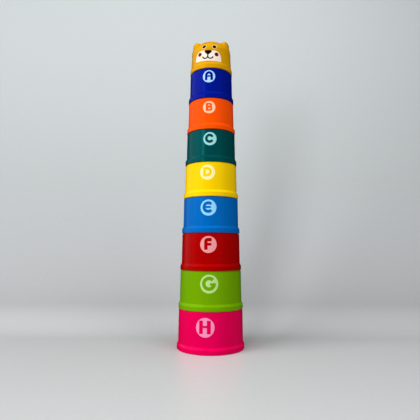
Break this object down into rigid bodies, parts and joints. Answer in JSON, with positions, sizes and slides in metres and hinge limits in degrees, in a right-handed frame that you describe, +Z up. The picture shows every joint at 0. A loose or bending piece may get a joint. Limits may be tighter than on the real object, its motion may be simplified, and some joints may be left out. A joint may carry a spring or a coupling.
{
  "type": "stacking cup tower",
  "caption": "Tower of round tapered stacking cups, mouth down, each seated on the ledge and boss of the one below, with a hollow bear's head on top; the pieces lift off one by one.",
  "frame": {"origin": "on the table, at the middle of the largest cup's mouth, which is the bottom of the tower", "axes": "+Z up along the tower, the printed badges and the bear's face towards -Y, +X to the right seen from the front"},
  "size_m": [0.088, 0.088, 0.4131],
  "materials": {
    "pink_plastic": "glossy moulded polypropylene, hot pink",
    "lime_plastic": "glossy moulded polypropylene, lime green",
    "red_plastic": "glossy moulded polypropylene, deep red",
    "blue_plastic": "glossy moulded polypropylene, sky blue",
    "yellow_plastic": "glossy moulded polypropylene, yellow",
    "teal_plastic": "glossy moulded polypropylene, dark teal",
    "orange_plastic": "glossy moulded polypropylene, orange",
    "navy_plastic": "glossy moulded polypropylene, navy blue",
    "honey_plastic": "glossy moulded polypropylene, honey yellow",
    "white_ink": "pad-printed ink, off-white",
    "black_ink": "pad-printed ink, black",
    "cheek_ink": "pad-printed ink, dark red"
  },
  "bodies": {
    "cup_h": {"cup_h": "pink_plastic"},
    "cup_g": {"cup_g": "lime_plastic"},
    "cup_f": {"cup_f": "red_plastic"},
    "cup_e": {"cup_e": "blue_plastic"},
    "cup_d": {"cup_d": "yellow_plastic"},
    "cup_c": {"cup_c": "teal_plastic"},
    "cup_b": {"cup_b": "orange_plastic"},
    "cup_a": {"cup_a": "navy_plastic"},
    "bear_head": {"bear_head": "honey_plastic"}
  },
  "joints": [
    {"name": "cup_g_lift", "type": "slide", "parent": "cup_h", "child": "cup_g", "axis": [0, 0, 1], "range_m": [0, 0.04]},
    {"name": "cup_f_lift", "type": "slide", "parent": "cup_g", "child": "cup_f", "axis": [0, 0, 1], "range_m": [0, 0.04]},
    {"name": "cup_e_lift", "type": "slide", "parent": "cup_f", "child": "cup_e", "axis": [0, 0, 1], "range_m": [0, 0.04]},
    {"name": "cup_d_lift", "type": "slide", "parent": "cup_e", "child": "cup_d", "axis": [0, 0, 1], "range_m": [0, 0.04]},
    {"name": "cup_c_lift", "type": "slide", "parent": "cup_d", "child": "cup_c", "axis": [0, 0, 1], "range_m": [0, 0.04]},
    {"name": "cup_b_lift", "type": "slide", "parent": "cup_c", "child": "cup_b", "axis": [0, 0, 1], "range_m": [0, 0.04]},
    {"name": "cup_a_lift", "type": "slide", "parent": "cup_b", "child": "cup_a", "axis": [0, 0, 1], "range_m": [0, 0.04]},
    {"name": "bear_head_lift", "type": "slide", "parent": "cup_a", "child": "bear_head", "axis": [0, 0, 1], "range_m": [0, 0.04]}
  ]
}
